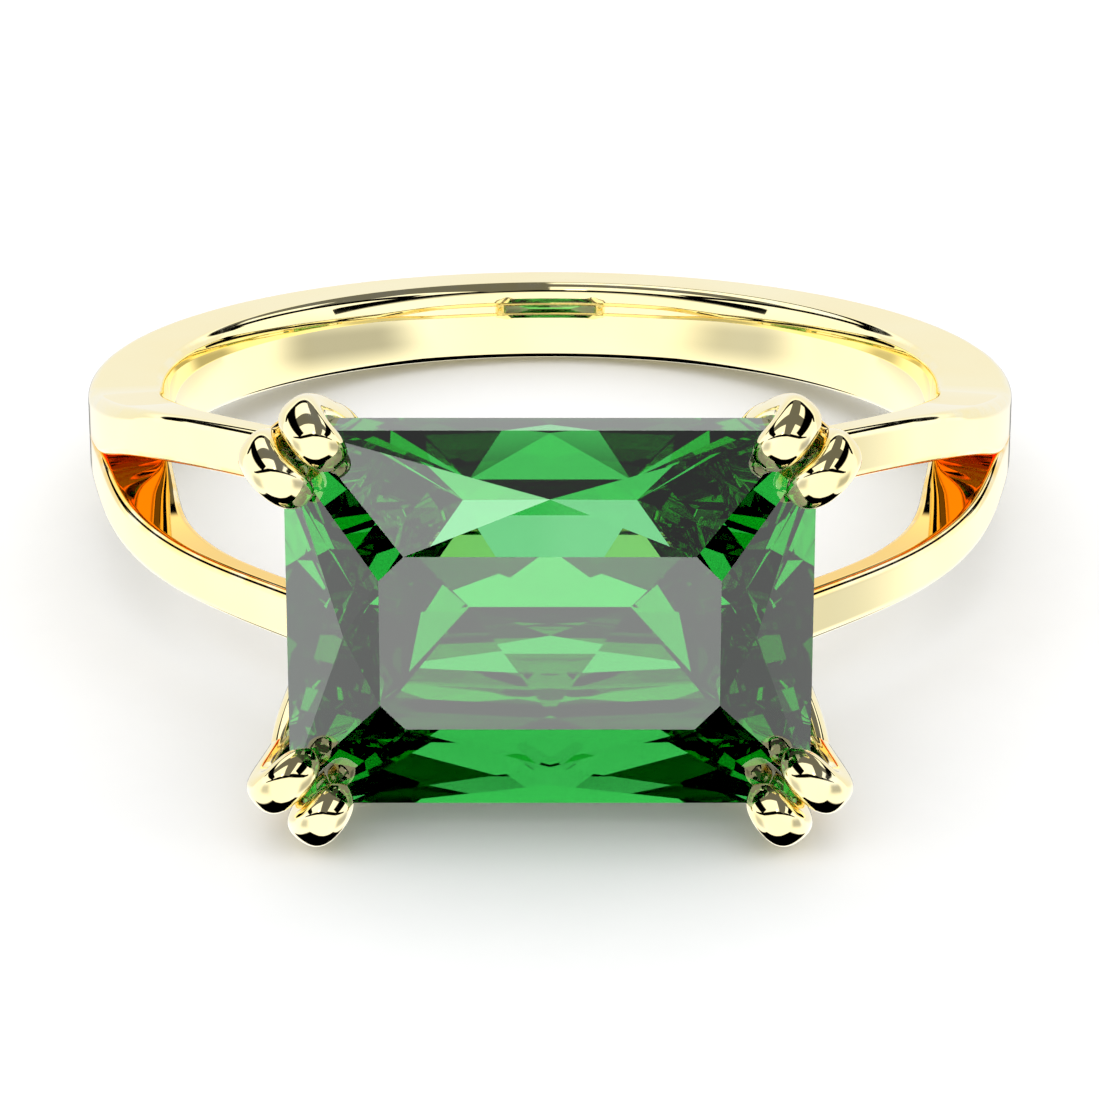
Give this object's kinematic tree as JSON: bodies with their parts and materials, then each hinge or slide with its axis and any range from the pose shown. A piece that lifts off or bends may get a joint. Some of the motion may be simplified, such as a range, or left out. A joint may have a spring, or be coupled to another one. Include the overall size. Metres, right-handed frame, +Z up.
{
  "type": "cocktail ring",
  "caption": "Cocktail ring with a rectangular green crystal held by paired claws on a split-shank gold-tone band.",
  "frame": {"origin": "bottom centre of the ring's box, on the surface it lies on", "axes": "+Z up from the table the ring lies on; -Y out through the crystal; +X along the crystal's length. The finger's axis leans forward by the angle at which the ring rests on two claws and the back of its band."},
  "size_m": [0.0208, 0.0268, 0.0088],
  "materials": {
    "gold_tone_plate": "pale yellow gold-tone plating, mirror polished",
    "green_crystal": "faceted transparent emerald-green crystal, polished"
  },
  "bodies": {
    "root": {"shank_hoop": "gold_tone_plate", "base_rail": "gold_tone_plate", "crystal": "green_crystal", "shoulder_bar_top_right": "gold_tone_plate", "corner_stem_top_right": "gold_tone_plate", "claw_long_top_right": "gold_tone_plate", "claw_short_top_right": "gold_tone_plate", "shoulder_bar_bottom_right": "gold_tone_plate", "corner_stem_bottom_right": "gold_tone_plate", "claw_long_bottom_right": "gold_tone_plate", "claw_short_bottom_right": "gold_tone_plate", "shoulder_bar_top_left": "gold_tone_plate", "corner_stem_top_left": "gold_tone_plate", "claw_long_top_left": "gold_tone_plate", "claw_short_top_left": "gold_tone_plate", "shoulder_bar_bottom_left": "gold_tone_plate", "corner_stem_bottom_left": "gold_tone_plate", "claw_long_bottom_left": "gold_tone_plate", "claw_short_bottom_left": "gold_tone_plate"}
  },
  "joints": []
}
